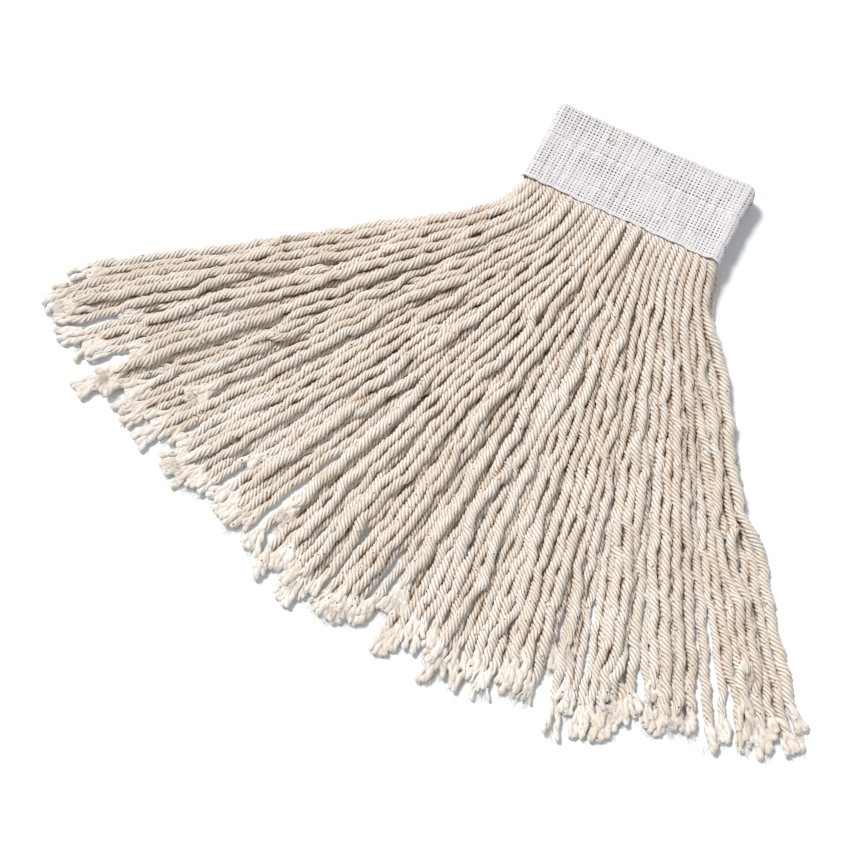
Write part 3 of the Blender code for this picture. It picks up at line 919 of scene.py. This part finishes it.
def add_tape(shell, side, first, last, band):
    """One stretch of open-mesh tape from first to last along the sleeve: a lattice of cells, each with an
    eight-cornered hole, on two skins joined round every hole and along the edges.

    Lattice point (i, j) lies at half-cell steps. A hole corner is the cell's centre plus its size times
    the step to the lattice point beside it, pulled in at the four diagonals so that the hole is round.
    """
    total = SLEEVES[side][1]
    columns = 2 * int(round(half_width() / band.cell_across))
    rows = int(round((last - first) / band.cell_along))
    across = np.linspace(-half_width(), half_width(), 2 * columns + 1)
    along = np.linspace(first, last, 2 * rows + 1)
    grid_a, grid_l = np.meshgrid(across, along, indexing="ij")
    waver = 0.00022
    free = (grid_a[..., None] > across[0]) & (grid_a[..., None] < across[-1])
    shake_a = waver * np.sin(grid_l * 5200 + 3 * np.sin(grid_a * 900))
    shake_l = waver * np.sin(grid_a * 4700 + 2 * np.sin(grid_l * 700))
    inside = free[..., 0] & (grid_l > along[0]) & (grid_l < along[-1])
    grid_a, grid_l = grid_a + shake_a * inside, grid_l + shake_l * inside
    centre_a, centre_l = grid_a[1::2, 1::2], grid_l[1::2, 1::2]
    ring = [(0, 0), (1, 0), (2, 0), (2, 1), (2, 2), (1, 2), (0, 2), (0, 1)]
    share = hole_sizes(centre_a, np.minimum(centre_l, total - centre_l), band.hole)
    i, j = np.meshgrid(np.arange(columns), np.arange(rows), indexing="ij")
    lattice = np.arange(grid_a.size).reshape(grid_a.shape)
    corner_ids, hole_a, hole_l = [], [], []
    for di, dj in ring:
        round_off = 0.74 if (di != 1 and dj != 1) else 1.0
        corner_ids.append(lattice[2 * i + di, 2 * j + dj])
        hole_a.append(centre_a + share * round_off * (grid_a[2 * i + di, 2 * j + dj] - centre_a))
        hole_l.append(centre_l + share * round_off * (grid_l[2 * i + di, 2 * j + dj] - centre_l))
    corner_ids = np.stack(corner_ids, -1).reshape(-1, 8)
    hole_a, hole_l = np.stack(hole_a, -1).reshape(-1, 8), np.stack(hole_l, -1).reshape(-1, 8)
    flat_a, flat_l = grid_a.ravel(), grid_l.ravel()
    hole_ids = flat_a.size + np.arange(hole_a.size).reshape(-1, 8)
    all_a, all_l = np.concatenate([flat_a, hole_a.ravel()]), np.concatenate([flat_l, hole_l.ravel()])
    rim = np.concatenate([np.zeros(flat_a.size), np.ones(hole_a.size)])
    half = band.tape / 2
    top = tape_point(side, all_a, all_l, half - 0.00016 * rim)
    below = tape_point(side, all_a, all_l, -half + 0.00010 * rim)
    size = len(all_a)
    used = np.ones(size, bool)
    used[lattice[1::2, 1::2].ravel()] = False
    number = np.cumsum(used) - 1
    a, b = corner_ids, np.roll(corner_ids, -1, 1)
    c, d = np.roll(hole_ids, -1, 1), hole_ids
    upper = np.stack([a, b, c, d], -1).reshape(-1, 4)
    kept = int(used.sum())
    skin = number[upper]
    walls = np.stack([number[d], number[c], number[c] + kept, number[d] + kept], -1).reshape(-1, 4)
    edges = []
    for line, flip in ((lattice[0, :], 0), (lattice[-1, :], 1), (lattice[:, 0], 1), (lattice[:, -1], 0)):
        near, far = number[line[:-1]], number[line[1:]]
        edge = np.stack([near, far, far + kept, near + kept], -1)
        edges.append(edge[:, ::-1] if flip else edge)
    faces = np.concatenate([skin, skin[:, ::-1] + kept, walls, *edges])
    points = np.concatenate([top[used], below[used]])
    flat_uv = np.stack([all_a / band.cell_across, all_l / band.cell_along], -1)[used]
    uvs = np.concatenate([flat_uv, flat_uv])[faces]
    # Painted shade along the fold: the tone rises towards the fold and darkens the tape there.
    tone = ease((np.minimum(all_l, total - all_l)[used] - 0.058) / 0.007)
    shell.add(points, faces, uvs, np.concatenate([tone, tone]))


def outward(piece):
    """Turns every face of a closed shell outwards."""
    work = bmesh.new()
    work.from_mesh(piece.data)
    bmesh.ops.recalc_face_normals(work, faces=work.faces)
    work.to_mesh(piece.data)
    work.free()
    piece.data.shade_smooth()


def bend_with_fold(piece):
    """Bakes the piece's placement into its mesh.
    """
    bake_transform(piece)


class MopHeadbandTape(bpy.types.Operator):
    """Adds the headband's folded open-mesh tape"""

    bl_idname = "mop.headband_tape"
    bl_label = "Headband Tape"

    def execute(self, context):
        band = context.scene.mop_headband
        look = tape_cloth("headband_mesh", band.colour, band.shade)
        for side in ("outer", "inner"):
            total = SLEEVES[side][1]
            for half, first, last in (("upper", 0, total / 2), ("lower", total / 2, total)):
                shell = Shell()
                add_tape(shell, side, first, last, band)
                piece = shell.piece(f"{half}_{side}_tape", look)
                outward(piece)
                bend_with_fold(piece)
                if side == "outer":
                    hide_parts(f"{half}_outer_mesh", f"{half}_left_hem", f"{half}_right_hem",
                                "fold_outer_mesh", "fold_left_hem", "fold_right_hem")
                else:
                    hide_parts(f"{half}_inner_mesh", "fold_inner_mesh")
        return {"FINISHED"}


class MopYarnCore(bpy.types.Operator):
    """Adds the layer of yarn that runs through the headband"""

    bl_idname = "mop.yarn_core"
    bl_label = "Yarn Inside the Headband"

    def execute(self, context):
        yarn = context.scene.mop_yarn
        # Painted shade: the yarn under the mesh gets the cotton colours at half brightness.
        shaded = [tuple(0.5 * part for part in colour) for colour in (yarn.light, yarn.dark, yarn.painted_groove_shade)]
        look = cotton("inner_yarn", *shaded, yarn.fleck, flecks=False)
        for half in ("upper", "lower"):
            for side in ("outer", "inner"):
                shell = Shell()
                total = SLEEVES[side][1]
                first, last = (0.0035, total / 2) if half == "upper" else (total / 2, total - 0.0035)
                across = np.linspace(-FLAT_HALF, FLAT_HALF, 24 * 8 + 1)
                along = np.linspace(first, last, int((last - first) / 0.0018))
                grid_a, grid_l = np.meshgrid(across, along, indexing="ij")
                rib = np.abs(np.cos(np.pi * grid_a / RIB_SPACING + 0.6 * np.sin(grid_a * 61)))
                twist = 0.00010 * np.sin(2 * np.pi * (grid_l / 0.0026 + grid_a / 0.0031))
                sunk = -0.0008 - 0.0009 * (1 - rib**0.7) + twist
                points = tape_point(side, grid_a, grid_l, sunk)
                quads = grid_quads(len(across), len(along))
                if side == "inner":
                    quads = quads[:, ::-1]
                uv = np.stack([grid_a.ravel() / RIB_SPACING, grid_l.ravel()], -1)[quads]
                # Painted shade between the ribs: the unshaded value drops from 1 on a rib to 0.3 between
                # ribs.
                shell.add(points, quads, uv, 0.5, 0.3 + 0.7 * rib)
                piece = shell.piece(f"{half}_{side}_inside_yarn", look)
                bend_with_fold(piece)
                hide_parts(f"{half}_yarn_layer", "fold_yarn_layer")
        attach(self.tuft(context), "upper_half")
        return {"FINISHED"}

    def tuft(self, context):
        """A few plies of yarn that have worked out through the mesh near the fold."""
        yarn, band = context.scene.mop_yarn, context.scene.mop_headband
        rng, shell = np.random.default_rng(yarn.seed), Shell()
        for k in range(5):
            share = np.linspace(0, 1, 12)
            across = -0.034 + 0.0011 * k + rng.uniform(-0.0015, 0.0015) * share
            along = 0.0565 - (0.0035 + 0.0025 * rng.random()) * share
            line = tape_point("outer", across, along, band.tape / 2 + 0.0009 * np.sin(np.pi * share))
            _, side_way, up_way = frames_along(line)
            radius = 0.00055 * np.sqrt(np.clip(np.sin(np.pi * share), 0.05, 1))
            add_tube(shell, line, side_way, up_way, radius, radius, 9 * share, 2, 0.25, 8, 0.8)
        # The tuft's grooves get painted shade in the dark cotton colour.
        look = cotton("tuft_yarn", yarn.light, yarn.dark, yarn.dark, yarn.fleck, flecks=False)
        piece = shell.piece("yarn_tuft", look)
        return piece


class MopLipEdges(bpy.types.Operator):
    """Adds the sewn edge round each half's mouth"""

    bl_idname = "mop.lip_edges"
    bl_label = "Lip Edges"

    def execute(self, context):
        band = context.scene.mop_headband
        look = sewing_thread("lip_thread", tuple(0.9 * part for part in band.colour))
        for half in ("lower", "upper"):
            shell = Shell()
            for side in ("outer", "inner"):
                total = SLEEVES[side][1]
                along = 0.0004 if half == "upper" else total - 0.0004
                across = np.linspace(-half_width(), half_width(), 420)
                line = tape_point(side, across, np.full_like(across, along), 0.0)
                _, side_way, up_way = frames_along(line)
                at = np.linspace(0, 1, len(line)) * 2 * half_width()
                radius = 0.00062 * (1 + 0.12 * np.sin(2 * np.pi * at / 0.0021))
                line[:, 2] = np.maximum(line[:, 2], 0.0007)
                turn = 2 * np.pi * at / 0.0031
                add_tube(shell, line, side_way, up_way, radius, radius, turn, 2, 0.25, 8, 0.5)
            piece = shell.piece(f"{half}_lip_edge", look)
            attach(piece, f"{half}_half")
        return {"FINISHED"}


class MopSeamStitches(bpy.types.Operator):
    """Adds the stitches of the two seams on every face of the headband"""

    bl_idname = "mop.seam_stitches"
    bl_label = "Seam Stitches"

    def execute(self, context):
        band = context.scene.mop_headband
        look = sewing_thread("seam_thread", band.thread)
        for half in ("lower", "upper"):
            shell = Shell()
            for side in ("outer", "inner"):
                total = SLEEVES[side][1]
                for seam in SEAMS_FROM_LIP:
                    self.add_row(shell, side, seam if half == "upper" else total - seam, band)
            piece = shell.piece(f"{half}_seam_stitches", look)
            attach(piece, f"{half}_half")
            names = [f"{half}_{seam}_seam_{side}_thread" for seam in ("mouth", "middle")
                     for side in ("outer", "inner")]
            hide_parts(*names)
        return {"FINISHED"}

    def add_row(self, shell, side, along, band):
        """Stitches end to end along X, each a short arc that rises from the tape and dives back into it."""
        count = int(2 * FLAT_HALF / band.stitch)
        starts = -FLAT_HALF + (np.arange(count) + 0.5) * 2 * FLAT_HALF / count
        rng = np.random.default_rng(int(along * 1e6))
        for middle in starts:
            at = np.linspace(-0.5, 0.5, 8)
            across = middle + at * band.stitch * 0.90
            slant = along + at * 0.0005 + rng.normal(0, 0.00012)
            lift = band.tape / 2 + 0.00025 - 0.0022 * at**2
            line = tape_point(side, across, slant, lift)
            line[:, 2] = np.maximum(line[:, 2], 0.0006)
            _, side_way, up_way = frames_along(line)
            radius = 0.00045 * np.sqrt(np.clip(1 - (2 * at) ** 6, 0.15, 1))
            add_tube(shell, line, side_way, up_way, radius, radius, np.zeros(8), 0, 0.0, 7, 0.5)


class MopStageSet(bpy.types.Operator):
    """Adds the floor, the soft light and the camera"""

    bl_idname = "mop.stage"
    bl_label = "Stage"

    def execute(self, context):
        stage = context.scene.mop_stage
        mesh = bpy.data.meshes.new("floor")
        corners = [(x * FLOOR_REACH, y * FLOOR_REACH, 0) for x, y in ((-1, -1), (1, -1), (1, 1), (-1, 1))]
        mesh.from_pydata(corners, [], [(0, 1, 2, 3)])
        look = Look("floor")
        darker = tuple(0.985 * part for part in stage.floor)
        colour = look.mixed(look.noise(look.place(), 3.0, 2.0), tuple(stage.floor), darker)
        mesh.materials.append(look.finish(colour, Roughness=0.9))
        floor = bpy.data.objects.new("floor", mesh)
        context.scene.collection.objects.link(floor)
        self.add_light((-0.88, 0.08, 1.60), math.radians(14), stage.key_power)
        world = bpy.data.worlds.new("studio")
        world.use_nodes = True
        background = world.node_tree.nodes["Background"]
        background.inputs["Color"].default_value = (1.0, 0.985, 0.965, 1.0)
        background.inputs["Strength"].default_value = 0.45
        context.scene.world = world
        camera = bpy.data.objects.new("camera", bpy.data.cameras.new("camera"))
        camera.data.lens = 85
        camera.data.sensor_width = 36
        camera.data.clip_start = 0.01
        camera.location = (0.163, -0.655, 1.329)
        camera.rotation_euler = (math.pi / 2 - stage.elevation, 0, stage.azimuth)
        context.scene.collection.objects.link(camera)
        context.scene.camera = camera
        context.scene.view_settings.view_transform = "Standard"
        return {"FINISHED"}

    def add_light(self, place, width, power):
        """A far, even light that shines from a place towards the middle of the fan."""
        data = bpy.data.lights.new("key_light", "SUN")
        data.angle = width
        data.energy = power
        data.color = (1.0, 0.99, 0.975)
        light = bpy.data.objects.new("key_light", data)
        away = unit(np.array(place) - np.array([-0.03, -0.15, 0.0]))
        light.location = place
        light.rotation_euler = (math.acos(away[2]), 0, math.atan2(away[0], -away[1]))
        bpy.context.scene.collection.objects.link(light)


OPERATORS = (MopStageSet, MopYarnEnds, MopYarnCore, MopHeadbandTape, MopLipEdges, MopSeamStitches)


class MopPanel(bpy.types.Panel):
    """Lists the mop head's pieces"""

    bl_idname = "VIEW3D_PT_mop"
    bl_label = "Mop Head"
    bl_space_type = "VIEW_3D"
    bl_region_type = "UI"
    bl_category = "Mop"

    def draw(self, context):
        for operator in OPERATORS:
            self.layout.operator(operator.bl_idname)


CLASSES = (MopYarn, MopHeadband, MopStage, *OPERATORS, MopPanel)


def register():
    for each in CLASSES:
        bpy.utils.register_class(each)
    bpy.types.Scene.mop_yarn = bpy.props.PointerProperty(type=MopYarn)
    bpy.types.Scene.mop_headband = bpy.props.PointerProperty(type=MopHeadband)
    bpy.types.Scene.mop_stage = bpy.props.PointerProperty(type=MopStage)


def unregister():
    del bpy.types.Scene.mop_stage, bpy.types.Scene.mop_headband, bpy.types.Scene.mop_yarn
    for each in reversed(CLASSES):
        bpy.utils.unregister_class(each)


def main():
    """Registers the classes and builds every piece."""
    register()
    for operator in OPERATORS:
        group, name = operator.bl_idname.split(".")
        getattr(getattr(bpy.ops, group), name)()


if __name__ == "__main__":
    main()
